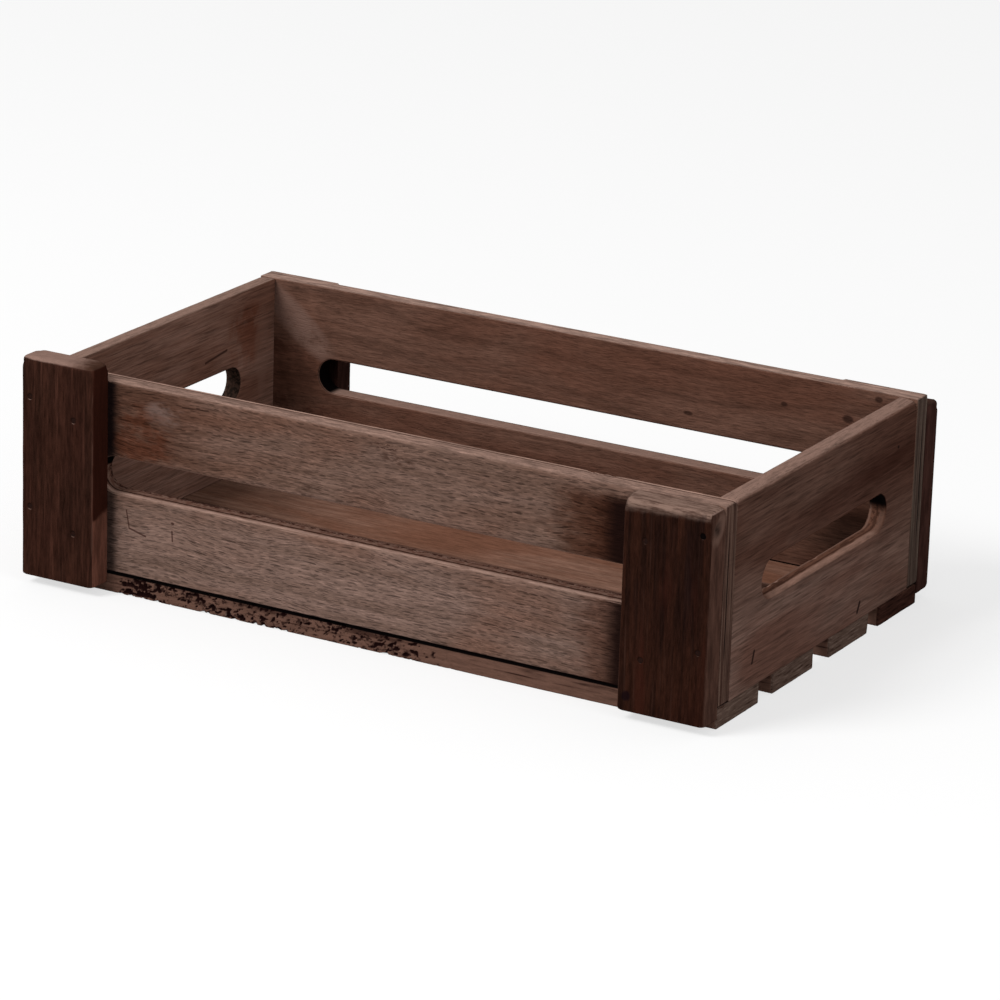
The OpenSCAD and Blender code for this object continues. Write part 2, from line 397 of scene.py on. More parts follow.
class Field:
    """A number or colour that varies over a surface, with arithmetic."""

    def __init__(self, graph, socket):
        self.graph, self.socket = graph, socket

    def math(self, operation, *values):
        node = self.graph.nodes.new("ShaderNodeMath")
        node.operation = operation
        for socket, value in zip(node.inputs, values):
            connect(self.graph, socket, value)
        return Field(self.graph, node.outputs[0])

    def __add__(self, other):
        return self.math("ADD", self, other)

    def __sub__(self, other):
        return self.math("SUBTRACT", self, other)

    def __mul__(self, other):
        return self.math("MULTIPLY", self, other)

    def __rsub__(self, other):
        return self.math("SUBTRACT", other, self)

    __radd__, __rmul__ = __add__, __mul__

    def size(self):
        return self.math("ABSOLUTE", self)

    def sine(self):
        return self.math("SINE", self)

    def least(self, other):
        return self.math("MINIMUM", self, other)

    def most(self, other):
        return self.math("MAXIMUM", self, other)

    def ramp(self, start, end):
        """Smooth step from 0 where the field is start to 1 where it is end."""
        node = self.graph.nodes.new("ShaderNodeMapRange")
        node.interpolation_type = "SMOOTHSTEP"
        for name, value in (("Value", self), ("From Min", start), ("From Max", end)):
            connect(self.graph, node.inputs[name], value)
        return Field(self.graph, node.outputs[0])

    def band(self, start, end, soft):
        """1 between start and end, with soft borders."""
        return self.ramp(start - soft, start + soft) * self.ramp(end + soft, end - soft)


class Surface:
    """A material under construction. Lengths are millimetres of the crate's own frame."""

    def __init__(self, name, seed=0.0):
        self.material = bpy.data.materials.new(name)
        self.material.use_nodes = True
        self.graph = self.material.node_tree
        self.graph.nodes.clear()
        place = self.node("ShaderNodeVectorMath", operation="SCALE")
        here = self.node("ShaderNodeTexCoord").outputs["Object"]
        connect(self.graph, place.inputs[0], Field(self.graph, here))
        place.inputs["Scale"].default_value = 1 / MM
        self.place = Field(self.graph, place.outputs[0])
        self.x, self.y, self.z = self.split(self.place)
        geometry = self.node("ShaderNodeNewGeometry")
        self.nx, self.ny, self.nz = self.split(Field(self.graph, geometry.outputs["Normal"]))
        self.edge, self.pit = self.stored("edge"), self.stored("pit")
        self.seed = seed

    def node(self, kind, **settings):
        node = self.graph.nodes.new(kind)
        for name, value in settings.items():
            setattr(node, name, value)
        return node

    def stored(self, name):
        return Field(self.graph, self.node("ShaderNodeAttribute", attribute_name=name).outputs["Fac"])

    def split(self, field):
        node = self.node("ShaderNodeSeparateXYZ")
        connect(self.graph, node.inputs[0], field)
        return [Field(self.graph, output) for output in node.outputs]

    def noise(self, sx, sy, sz, detail=2.0, roughness=0.5, distortion=0.0, shift=0.0):
        """Noise from 0 to 1 with its own scale per millimetre along X, Y and Z."""
        place = self.node("ShaderNodeVectorMath", operation="MULTIPLY_ADD")
        connect(self.graph, place.inputs[0], self.place)
        place.inputs[1].default_value = (sx, sy, sz)
        place.inputs[2].default_value = (
            self.seed + shift, self.seed * 1.7 - shift, self.seed * 0.6 + 2 * shift)
        node = self.node("ShaderNodeTexNoise")
        connect(self.graph, node.inputs["Vector"], Field(self.graph, place.outputs[0]))
        settings = {"Scale": 1.0, "Detail": detail, "Roughness": roughness, "Distortion": distortion}
        for name, value in settings.items():
            node.inputs[name].default_value = value
        return Field(self.graph, node.outputs["Fac"])

    def mix(self, share, below, above, blend="MIX"):
        """Colour between two, by a share from 0 to 1."""
        node = self.node("ShaderNodeMix", data_type="RGBA", blend_type=blend, clamp_factor=True)
        for index, value in ((0, share), (6, below), (7, above)):
            connect(self.graph, node.inputs[index], value)
        return Field(self.graph, node.outputs[2])

    def shade(self, colour, amount):
        """Colour times a brightness."""
        node = self.node("ShaderNodeVectorMath", operation="SCALE")
        connect(self.graph, node.inputs[0], colour)
        connect(self.graph, node.inputs["Scale"], amount)
        return Field(self.graph, node.outputs[0])

    def stain(self, colour, share, tone):
        """Colour darkened towards a tone that multiplies it, by a share from 0 to 1."""
        return self.mix(share, colour, (*tone, 1.0), "MULTIPLY")

    def flecks(self, a, b, spacing, size, shift=0.0):
        """Short dark marks spread evenly, as rays are in beech: a runs along the grain and b across it."""
        def spread(x, y):
            node = self.node("ShaderNodeCombineXYZ")
            connect(self.graph, node.inputs[0], x)
            connect(self.graph, node.inputs[1], y)
            return Field(self.graph, node.outputs[0])
        a, b = a * (1 / spacing[0]) + (self.seed + shift), b * (1 / spacing[1]) + (shift - self.seed)
        node = self.node("ShaderNodeTexVoronoi", voronoi_dimensions="2D")
        connect(self.graph, node.inputs["Vector"], spread(a, b))
        node.inputs["Scale"].default_value = 1.0
        ca, cb, _ = self.split(Field(self.graph, node.outputs["Position"]))
        length, strength, _ = self.split(Field(self.graph, node.outputs["Color"]))
        da = (a - ca) * (spacing[0] / size[0]) * (2.0 - length * 1.2)
        db = (b - cb) * (spacing[1] / size[1])
        return (da * da + db * db).ramp(1.0, 0.25) * (strength * 0.75 + 0.25)

    def spot(self, a, b, ca, cb, ra, rb):
        """1 at the middle of an ellipse in the plane of two coordinates, 0 outside it."""
        da, db = (a - ca) * (1 / ra), (b - cb) * (1 / rb)
        return (da * da + db * db).ramp(1.0, 0.25)

    def stroke(self, a, b, start, end, width):
        """1 on a straight mark between two points in the plane of two coordinates."""
        (a0, b0), (a1, b1) = start, end
        da, db = a1 - a0, b1 - b0
        square = da * da + db * db
        share = ((a - a0) * (da / square) + (b - b0) * (db / square)).most(0.0).least(1.0)
        ra, rb = a - (share * da + a0), b - (share * db + b0)
        return (ra * ra + rb * rb).ramp(width * width, width * width * 0.1)

    def finish(self, colour, height, roughness, depth=0.25):
        """Ends the material with its colour, its relief in millimetres and its roughness."""
        bump = self.node("ShaderNodeBump")
        bump.inputs["Strength"].default_value = 1.0
        bump.inputs["Distance"].default_value = depth * MM
        connect(self.graph, bump.inputs["Height"], height)
        shader = self.node("ShaderNodeBsdfPrincipled")
        shader.inputs["Specular IOR Level"].default_value = 0.0
        connect(self.graph, shader.inputs["Base Color"], colour)
        connect(self.graph, shader.inputs["Roughness"], roughness)
        self.graph.links.new(bump.outputs[0], shader.inputs["Normal"])
        self.graph.links.new(shader.outputs[0], self.node("ShaderNodeOutputMaterial").inputs["Surface"])
        return self.material


# Woods

def along(axis, length, across):
    """Scales that stretch a pattern along one axis."""
    return tuple(length if a == axis else across for a in (X, Y, Z))


def grained(surface, axis, light, dark, tint, blotch=1.0, flecks=0.0, pores=1.0, run=0.11, across=0.8):
    """Wood with its grain along an axis: colour and relief. Light, dark and tint are its three tones."""
    broad = surface.noise(*along(axis, 0.008, 0.025), detail=3, distortion=0.6)
    stripes = surface.noise(*along(axis, 0.014, 0.22), detail=4, roughness=0.6, distortion=0.3, shift=3.1)
    fine = surface.noise(*along(axis, run, across), detail=3, roughness=0.75, shift=7.7)
    colour = surface.mix(stripes.ramp(0.32, 0.7), light, dark)
    colour = surface.mix(broad.ramp(0.42, 0.7) * blotch, colour, tint)
    cloud = surface.noise(*along(axis, 0.03, 0.045), detail=4, roughness=0.6, shift=44.0)
    colour = surface.shade(colour, (fine - 0.5) * 1.6 * pores + (cloud - 0.5) * 0.3 + 1.0)
    height = fine * 0.5
    if flecks:
        a = surface.x if axis == X else surface.y
        wave = (surface.noise(*along(axis, 0.02, 0.05), detail=1, shift=60.0) - 0.5) * 9.0
        small = surface.flecks(a, surface.z + wave, (4.8, 1.4), (3.0, 0.31))
        large = surface.flecks(a, surface.z + wave, (9.5, 3.2), (5.0, 0.4), shift=17.0)
        pale = surface.flecks(a, surface.z + wave, (5.6, 1.6), (4.0, 0.36), shift=41.0)
        mark = (small * 0.8).most(large)
        colour = surface.shade(colour, (1.02 - mark * 0.62 * flecks) * (pale * 0.36 * flecks + 1.0))
        height = height - mark * 0.6
    return colour, height


def panel_wood(name, side, palette, seed, flecks, figure, marks):
    """Plywood of a side panel: layers at its cut edges, figure and stains on its wide faces."""
    s = Surface(name, seed)
    light, dark, tint, rim, glue, end_light, end_dark = palette
    front = side == "front"
    depth = PANEL_OUTER_Y - s.y.size()
    colour, height = grained(s, X, light, dark, tint, flecks=flecks, pores=0.9)
    if figure:
        wave = s.noise(0.0045, 0.02, 0.016, detail=1.5, shift=5.0)
        rings = (s.z * 0.32 + wave * 26.0).sine()
        colour = s.shade(colour, 1.0 - rings.ramp(0.55, 1.0) * 0.16 * figure)
    cut = s.ny.size().ramp(0.9, 0.45)
    core = s.mix(s.noise(0.03, 0.4, 0.03, detail=3, shift=2.0).ramp(0.35, 0.7), rim, s.shade(rim, 0.8))
    sand = (s.noise(0.16, 0.7, 0.7, detail=4, roughness=0.75, shift=8.0) - 0.5) * 2.4
    core = s.shade(core, 1.12 - s.noise(0.035, 0.35, 0.5, detail=3, shift=81.0).ramp(0.48, 0.66) * 0.4)
    if front:
        core = s.shade(core, sand + 1.0 + depth.ramp(9.6, 10.4) * 0.4)
        line = depth.band(8.9, 9.9, 0.3) * 0.85
    else:
        # The back rim is painted darker towards its outer rounding, which faces away from the light: painted
        # shade. It is also darker towards its inner edge.
        core = s.shade(core, sand + 1.14 - depth.ramp(3.4, 1.2) * 0.3 - depth.ramp(9.0, 11.5) * 0.25)
        line = depth.band(3.9, 4.8, 0.3) * 0.2
    # Cut faces that point down are painted darker: painted shade.
    core = s.mix(line, s.shade(core, 1.0 - s.nz.ramp(-0.3, -0.8) * 0.3), glue)

    # Slot: a light rubbed lip outside, with a painted highlight on the front slot's lower lip, a dark glue
    # line, and a torn inner edge
    around = (s.z - SLOT_Z).size().ramp(13.0, 12.0) * s.x.size().ramp(167.0, 165.0)
    patches = s.noise(0.25, 0.5, 0.5, detail=3, shift=33.0).ramp(0.4, 0.6)
    wall = s.mix(patches, srgb(112, 86, 75), srgb(92, 64, 54))
    if front:
        wall = s.mix(depth.band(4.2, 5.3, 0.3), wall, srgb(40, 23, 18))
        pits = s.noise(0.4, 0.6, 0.6, detail=3, roughness=0.7, shift=35.0).ramp(0.46, 0.54)
        wall = s.mix(pits * depth.ramp(8.0, 9.4) * 0.9, wall, srgb(44, 22, 17))
        rubbed = s.noise(0.06, 0.3, 0.3, detail=4, roughness=0.7, shift=37.0).ramp(0.32, 0.5) * 0.6 + 0.4
        # The light lip is rubbed wear, kept mostly to the lower wall that faces up: painted highlight there.
        rubbed = rubbed * depth.ramp(3.6, 2.6) * (1.0 - (s.z - SLOT_Z).ramp(-2.0, 4.0) * 0.75)
        wall = s.mix(rubbed, wall, s.shade(srgb(146, 118, 106), sand * 0.6 + 1.0))
    else:
        wall = s.mix(depth.ramp(3.4, 1.6), s.shade(srgb(132, 105, 94), sand * 0.5 + 1.0), srgb(84, 68, 60))
    core = s.mix(around, core, wall)

    strip = s.mix(s.noise(0.5, 0.8, 0.02, detail=3, shift=9.0).ramp(0.35, 0.65), end_light, end_dark)
    strip = s.mix(depth.ramp(1.2, 2.0) * 0.5, strip, end_dark)
    strip = s.shade(strip, 0.35 + s.noise(0.3, 0.3, 0.05, detail=4, roughness=0.7, shift=29.0) * 1.6)
    gap = (depth.band(3.9, 4.8, 0.3) * s.z.band(36.0, 98.0, 10.0)).most(depth.band(8.9, 9.9, 0.3) * 0.25)
    at_end = s.nx.size().ramp(0.5, 0.9) * s.x.size().ramp(190.0, 192.0)
    core = s.mix(at_end, core, s.mix(gap, strip, srgb(14, 9, 8)))
    colour = s.mix(cut, colour, core)

    # The end walls of the slot lie in shadow and are painted near-black: painted shade. On the front slot,
    # only the upper part of the left end.
    shaded_slot_end = (s.x.size() - SIDE_SLOT_REACH).ramp(-1.0, 3.0) * around * cut
    if front:
        shaded_slot_end = shaded_slot_end * s.x.ramp(-20.0, 20.0).most((s.z - SLOT_Z).ramp(1.5, 3.0))
    colour = s.mix(shaded_slot_end, colour, srgb(7, 5, 5))
    # Near-black band along the bottom edge: the painted shadow of the gap over the slat below.
    colour = s.mix(s.z.ramp(12.2, 11.7), colour, srgb(7, 5, 5))
    return s.finish(marks(s, colour), height, 0.62 + (s.noise(0.02, 0.02, 0.02) - 0.5) * 0.2)


def front_panel_marks(s, colour):
    """Stains, scratches and dark places of the front panel, and the painted shadows of the posts beside
    them.
    """
    face = s.ny.ramp(-0.5, -0.9)
    ragged = (s.noise(0.12, 0.12, 0.5, detail=3, shift=4.4) - 0.5) * 9.0
    patchy = s.noise(0.06, 0.06, 0.12, detail=4, roughness=0.65, shift=71.0)
    upper = s.z.ramp(60.0, 80.0)
    under_rim = (s.z + ragged * 0.6).ramp(110.5, 103.5)
    # Darker on the upper rail, and more so towards the left.
    colour = s.stain(colour, upper * face, (0.83, 0.79, 0.76))
    colour = s.stain(colour, (s.x + ragged * 2.0).ramp(-70.0, -130.0) * upper * face, (0.62, 0.52, 0.47))
    smudges = s.spot(s.x + ragged, s.z + ragged, 17.0, 104.0, 12.0, 5.0)
    smudges = smudges.most(s.spot(s.x + ragged, s.z + ragged, -34.0, 78.0, 9.0, 6.0) * 0.8)
    smudges = smudges * s.noise(0.2, 0.2, 0.6, detail=3, shift=14.0).ramp(0.4, 0.65)
    colour = s.mix(smudges * face * 0.7, colour, srgb(52, 34, 27))
    specks = s.noise(0.28, 0.5, 0.7, detail=3, roughness=0.7, shift=16.0).ramp(0.54, 0.6)
    specks = specks * s.x.band(2.0, 24.0, 3.0) * s.z.band(107.5, 111.5, 0.8)
    colour = s.mix(specks * 0.8, colour, srgb(46, 28, 22))
    pale = s.spot(s.x + ragged, s.z + ragged, -123.0, 101.0, 13.0, 9.0) * patchy.ramp(0.35, 0.6)
    colour = s.mix(pale * face * 0.55, colour, srgb(112, 94, 88))
    red_left = s.spot(s.x + ragged, s.z + ragged, -138.0, 84.0, 26.0, 24.0) * face * patchy.ramp(0.36, 0.6)
    colour = s.stain(colour, red_left, (0.88, 0.64, 0.54))

    # Dark red stain towards the right post. Beside each post the panel is painted near-black: the painted
    # shadow of the post.
    right = s.x + ragged * 1.6 + (patchy - 0.5) * 26.0
    near = face * under_rim
    colour = s.stain(colour, right.ramp(98.0, 120.0) * near * upper, (0.54, 0.42, 0.36))
    colour = s.stain(colour, right.ramp(112.0, 136.0) * near, (0.62, 0.5, 0.45))
    post_shadow_right = (s.x + ragged * 0.7 + upper * 3.0).ramp(132.0, 144.5) * near * 0.94
    colour = s.mix(post_shadow_right, colour, srgb(24, 13, 11))
    # Painted shadow of the left post, near-black beside it.
    post_shadow_left = (s.x + ragged * 0.4).ramp(-148.5, -154.0) * face * (0.75 + upper * 0.2)
    colour = s.mix(post_shadow_left, colour, srgb(19, 13, 14))
    marks = s.stroke(s.x, s.z, (-144.4, 46.5), (-142.6, 37.0), 0.5)
    marks = marks.most(s.stroke(s.x, s.z, (-142.6, 37.0), (-132.6, 34.4), 0.7))
    marks = marks.most(s.spot(s.x, s.z, -116.0, 44.5, 1.3, 0.9))
    marks = marks.most(s.stroke(s.x, s.z, (-116.3, 40.2), (-116.0, 35.0), 0.6))
    return s.mix(marks * face * 0.8, colour, srgb(46, 24, 20))


def back_panel_marks(s, colour):
    """Knots, stains, pale patches and painted shade in the low right corner, on the inner face of the back
    panel.
    """
    face = s.ny.ramp(-0.5, -0.9)
    patchy = s.noise(0.05, 0.05, 0.05, detail=4, roughness=0.65, shift=9.0)
    knots = s.spot(s.x, s.z, 68.0, 83.0, 3.4, 1.5)
    for x, z, r in ((124.0, 98.0, 1.6), (178.0, 110.0, 1.9), (161.0, 96.5, 2.6)):
        knots = knots.most(s.spot(s.x, s.z, x, z, 1.5 * r, r))
    colour = s.mix(knots * face * 0.75, colour, srgb(38, 24, 20))
    # Painted shade: the inner face darker in its low right corner, towards the floor and the right end.
    colour = s.shade(colour, 1.0 - s.x.ramp(128.0, 166.0) * s.z.ramp(60.0, 42.0) * face * 0.75)
    corner = s.x.ramp(-120.0, -170.0) * face
    colour = s.shade(colour, 1.0 + (patchy - 0.5) * 1.5 * corner)
    colour = s.mix(patchy.ramp(0.5, 0.62) * corner * s.z.ramp(90.0, 78.0) * 0.6, colour, srgb(62, 36, 28))
    slant = s.x + s.z
    pale = s.spot(slant, s.z, -84.0, 92.0, 16.0, 25.0) * patchy.ramp(0.3, 0.55)
    return s.mix(pale * face * 0.9, colour, srgb(118, 92, 82))


def end_wood(name, side, palette, seed, marks):
    """Board across the end of the crate, with fine grain along Y, and the torn walls of its handle slot."""
    s = Surface(name, seed)
    light, dark, tint, rim, lip, groove, slot_end_shade_tone = palette
    colour, height = grained(s, Y, light, dark, tint, pores=1.15, run=0.035, across=1.0)
    dashes = s.noise(*along(Y, 0.05, 0.8), detail=2, shift=15.0).ramp(0.54, 0.68)
    colour = s.shade(colour, 1.03 - dashes * 0.3)
    mottle = s.noise(0.6, 0.07, 0.6, detail=4, roughness=0.75, shift=6.0)
    rim_colour = s.mix(mottle.ramp(0.54, 0.66) * 0.8, s.shade(rim, mottle * 2.4 - 0.2), s.shade(rim, 0.5))
    colour = s.mix(s.nz.ramp(0.3, 0.7) * s.z.ramp(100.0, 108.0), colour, rim_colour)
    rise = s.z - HANDLE_Z
    wall = rise.size().ramp(12.6, 11.6) * s.nx.size().ramp(0.96, 0.75) * s.y.size().ramp(84.0, 82.0)
    torn = s.noise(0.6, 0.1, 0.6, detail=3, roughness=0.6, shift=17.0)
    across = END_OUTER_X - s.x.size() + (torn - 0.5) * 2.0
    arc = (s.y - HANDLE_Y[side]).size().ramp(HANDLE_REACH - 4.0, HANDLE_REACH + 4.0)
    inside = s.mix(torn.ramp(0.42, 0.6), groove, s.shade(groove, 0.5))
    inside = s.mix(across.band(8.0, 9.4, 0.5) * 0.6, inside, s.shade(lip, 0.8))
    inside = s.mix(across.band(4.2, 5.2, 0.4) * 0.8, inside, s.shade(groove, 0.4))
    # Light worn outer lip, on the lower wall that faces up and less at the far end: wear and painted
    # highlight.
    lit_worn_lip = across.ramp(4.2, 3.0) * rise.ramp(2.0, -3.0) * (1.0 - arc * 0.7)
    inside = s.mix(lit_worn_lip, inside, s.shade(lip, 0.3 + torn * 1.3))
    inside = s.mix(s.pit.ramp(0.15, 0.6), inside, s.shade(lip, 0.4 + torn * 1.4))
    colour = s.mix(wall, colour, inside)
    # The far end of the handle slot, in shadow, is painted dark: painted shade. On the right end only its
    # upper part.
    shaded_slot_end = arc * wall
    if side == "right":
        shaded_slot_end = shaded_slot_end * rise.ramp(-2.0, 3.5)
    else:
        shaded_slot_end = shaded_slot_end * (0.75 + torn.ramp(0.4, 0.6) * 0.25)
    colour = s.mix(shaded_slot_end, colour, slot_end_shade_tone)
    return s.finish(marks(s, colour), height - dashes * 0.3, 0.6 + (s.noise(0.02, 0.02, 0.02) - 0.5) * 0.2)


def right_end_marks(s, colour):
    """Dark streak over the handle, old staple marks and a dot on the right end's outer face."""
    face = s.nx.ramp(0.5, 0.9)
    ragged = (s.noise(0.1, 0.02, 0.15, detail=3, shift=3.0) - 0.5) * 16.0
    streak = (s.z + ragged - s.y * 0.04).band(80.0, 92.0, 5.0) * s.y.ramp(-60.0, 10.0)
    colour = s.mix(streak * face * 0.55, colour, srgb(62, 37, 30))
    far = s.y.ramp(-10.0, 60.0) * s.z.ramp(40.0, 80.0) * face
    # Darker towards the top and towards the back end.
    colour = s.stain(colour, (s.z + ragged * 0.5).ramp(30.0, 84.0) * face, (0.56, 0.49, 0.46))
    colour = s.stain(colour, far, (0.86, 0.78, 0.76))
    colour = s.stain(colour, s.y.ramp(20.0, 90.0) * face, (0.84, 0.8, 0.78))
    marks = s.stroke(s.y, s.z, (-77.2, 24.0), (-75.4, 29.6), 1.2)
    marks = marks.most(s.stroke(s.y, s.z, (41.0, 15.8), (43.4, 20.4), 1.4))
    marks = marks.most(s.spot(s.y, s.z, 80.0, 94.0, 1.3, 1.1))
    return s.mix(marks * face * 0.9, colour, srgb(24, 15, 13))


def left_end_marks(s, colour):
    """Scratch, reddish stain and pale smears on the left end's inner face."""
    face = s.nx.ramp(0.5, 0.9)
    patchy = s.noise(0.06, 0.06, 0.04, detail=4, roughness=0.65, shift=9.0)
    scratch = s.stroke(s.y, s.z, (31.0, 82.0), (52.0, 84.4), 0.9)
    colour = s.mix(scratch * face * 0.8, colour, srgb(40, 23, 19))
    stain = s.spot(s.y, s.z, 74.0, 88.0, 26.0, 22.0) * patchy.ramp(0.35, 0.6)
    colour = s.stain(colour, stain * face, (0.8, 0.62, 0.54))
    smear = s.spot(s.y + (patchy - 0.5) * 12.0, s.z, 88.0, 74.0, 8.0, 30.0) * patchy.ramp(0.32, 0.5)
    return s.mix(smear * face * 0.5, colour, srgb(122, 92, 80))


def post_wood(name, seed, palette, marks=None):
    """Dark stained upright with its grain along Z."""
    s = Surface(name, seed)
    light, dark, tint, side, top = palette
    colour, height = grained(s, Z, light, dark, tint, blotch=0.7, pores=1.3)
    lines = s.noise(*along(Z, 0.018, 0.6), detail=3, roughness=0.6, shift=19.0).ramp(0.55, 0.72)
    colour = s.mix(lines * 0.3, colour, side)
    mottle = s.noise(*along(Z, 0.05, 0.5), detail=3, roughness=0.7, shift=2.0)
    worn = s.noise(0.2, 0.2, 0.045, detail=4, roughness=0.7, shift=25.0).ramp(0.3, 0.7)
    colour = s.mix(s.nx.size().ramp(0.6, 0.9), colour, s.shade(side, 0.7 + worn * 0.8))
    rubbed = s.noise(0.06, 0.06, 0.03, detail=3, shift=27.0).ramp(0.5, 0.68) * s.edge
    colour = s.mix(rubbed * 0.5, colour, s.shade(side, 1.3))
    colour = s.mix(s.nz.ramp(0.5, 0.8), colour, s.shade(top, 0.6 + mottle * 0.8))
    if marks:
        colour = marks(s, colour)
    rust = s.pit * s.ny.size().ramp(0.3, 0.0) * (0.1 + s.z.ramp(97.0, 99.0) * s.x.ramp(188.0, 190.0) * 0.85)
    colour = s.mix(rust, colour, srgb(9, 6, 6))
    return s.finish(colour, height + lines * 0.3, 0.55 + (s.noise(0.03, 0.03, 0.03) - 0.5) * 0.2)


def right_post_marks(s, colour):
    """The front right post's top is bare like the rim, and its side is chipped near the top."""
    grain = s.noise(*along(X, 0.08, 0.6), detail=3, roughness=0.7, shift=40.0)
    bare = s.mix(grain.ramp(0.4, 0.66), srgb(126, 102, 91), srgb(80, 60, 52))
    bare = s.shade(bare, 1.0 - s.z.ramp(113.0, 108.0) * 0.35)
    ragged = (s.noise(0.3, 0.3, 0.3, detail=3, shift=4.0) - 0.5) * 3.0
    top = (s.z + ragged - s.x * 0.045).ramp(99.6, 104.6) * s.nx.ramp(0.7, 0.4)
    # The bare top is painted darker on faces turned to the left: painted shade.
    colour = s.mix(top, colour, s.shade(bare, 1.0 - s.nx.ramp(-0.2, -0.8) * 0.45))
    chip = s.spot(s.y + ragged, s.z - s.y * 0.6 + ragged, -119.0, 176.0, 7.5, 8.5) * s.nx.ramp(0.4, 0.8)
    colour = s.mix(chip * 0.5, colour, srgb(108, 84, 74))
    face = s.ny.ramp(-0.5, -0.9)
    streak = s.noise(0.14, 0.1, 0.014, detail=3, shift=51.0).ramp(0.52, 0.66) * s.z.ramp(30.0, 90.0)
    colour = s.mix(streak * face * 0.6, colour, srgb(22, 13, 13))
    red = s.noise(0.11, 0.1, 0.01, detail=3, shift=57.0).ramp(0.55, 0.7) * s.z.ramp(104.0, 60.0)
    colour = s.mix(red * face * 0.5, colour, srgb(52, 24, 17))
    foot = s.spot(s.x + ragged * 0.5, s.z + ragged * 0.5, 157.0, 13.0, 2.8, 3.2)
    return s.mix(foot * face * 0.8, colour, srgb(16, 8, 12))


def left_post_marks(s, colour):
    """The front left post's side is nearly black above and lighter below, and its top is half bare."""
    ragged = (s.noise(0.3, 0.3, 0.3, detail=3, shift=4.0) - 0.5) * 3.0
    dark = (s.z - (s.y + 119.5) * 0.3 + ragged).ramp(41.5, 44.5)
    upper_side_tone = s.shade(srgb(46, 22, 16), 0.7 + s.noise(0.4, 0.4, 0.05) * 0.6)
    colour = s.mix(s.nx.ramp(0.5, 0.9) * dark, colour, upper_side_tone)
    corner = s.edge * s.x.ramp(-159.0, -157.5) * s.z.band(20.0, 108.0, 6.0) * s.ny.ramp(0.3, -0.3)
    corner = corner * s.noise(0.3, 0.3, 0.06, detail=2, shift=66.0).ramp(0.3, 0.5)
    colour = s.mix(corner * 0.5, colour, srgb(90, 64, 55))
    mottle = s.noise(0.1, 0.3, 0.3, detail=3, roughness=0.7, shift=18.0)
    worn = s.mix((s.x + ragged * 4).ramp(-176.0, -158.0), srgb(128, 102, 92), srgb(64, 43, 34))
    return s.mix(s.nz.ramp(0.35, 0.7), colour, s.shade(worn, 0.65 + mottle * 0.7))


def slat_wood(name, seed, palette, ends, torn=0.0):
    """Floor slat with its grain along X, its layers showing at the sawn edges."""
    s = Surface(name, seed)
    light, dark, tint, cut_light, cut_dark = palette
    end_light, end_middle, end_dark = ends
    colour, height = grained(s, X, light, dark, tint)
    # Painted shade on the floor near the end boards: the tops darker towards the left end, every face darker
    # towards the right end.
    left = s.x.ramp(-70.0, -150.0) * s.nz.ramp(0.5, 0.9) * 0.2
    colour = s.shade(colour, 1.0 - left - s.x.ramp(150.0, 180.0) * 0.24)
    side = s.ny.size().ramp(0.4, 0.6)
    end = s.nx.size().ramp(0.2, 0.5)
    layers = s.z.band(7.4, 10.0, 0.5) * 0.8 + s.z.band(4.9, 5.6, 0.3)
    broken = s.noise(0.03, 0.3, 0.3, detail=3, roughness=0.7, shift=83.0).ramp(0.4, 0.6)
    cut = s.mix(layers.least(1.0) * broken, cut_light, cut_dark)
    cut = s.shade(cut, 0.3 + s.noise(0.09, 0.6, 0.6, detail=4, roughness=0.75, shift=3.0) * 1.45)
    colour = s.mix(side, colour, cut)
    fibres = s.noise(0.9, 0.08, 0.9, detail=3, roughness=0.65, shift=12.0)
    sawn = s.mix(fibres.ramp(0.3, 0.48), end_dark, end_middle)
    colour = s.mix(end, colour, s.mix(fibres.ramp(0.5, 0.7), sawn, end_light))
    if torn:
        specks = s.noise(0.34, 0.4, 0.5, detail=3, roughness=0.7, shift=6.0).ramp(0.52, 0.6)
        area = side * (s.x + (s.noise(0.05, 0.05, 0.05, detail=2) - 0.5) * 90.0).band(-150.0, 20.0, 16.0)
        colour = s.mix((specks * area * 0.8).most(s.pit.ramp(0.1, 0.55)) * torn, colour, srgb(24, 11, 10))
    # Painted shade of the gap between the slat and the panel on it: near-black along the slat's top outer
    # edge.
    gap_shade = s.z.ramp(9.5, 10.1) * s.y.size().ramp(110.5, 111.2) * s.nx.size().ramp(0.6, 0.4)
    colour = s.mix(gap_shade, colour, srgb(7, 5, 5))
    return s.finish(colour, height, 0.7)


def steel(name):
    """Nail steel, dulled and stained by the wood around it."""
    s = Surface(name)
    rust = s.noise(0.8, 0.8, 0.8, detail=3).ramp(0.45, 0.65)
    colour = s.mix(rust, srgb(32, 20, 17), srgb(38, 21, 16))
    colour = s.mix(s.z.ramp(97.0, 98.0) * s.x.ramp(188.0, 190.0), colour, srgb(9, 6, 6))
    return s.finish(colour, s.noise(3.0, 3.0, 3.0), 0.5 + rust * 0.3, 0.05)


def tones(*colours):
    """Linear colours of a wood, from rows of the usual 0 to 255 numbers."""
    return tuple(srgb(*colour) for colour in colours)


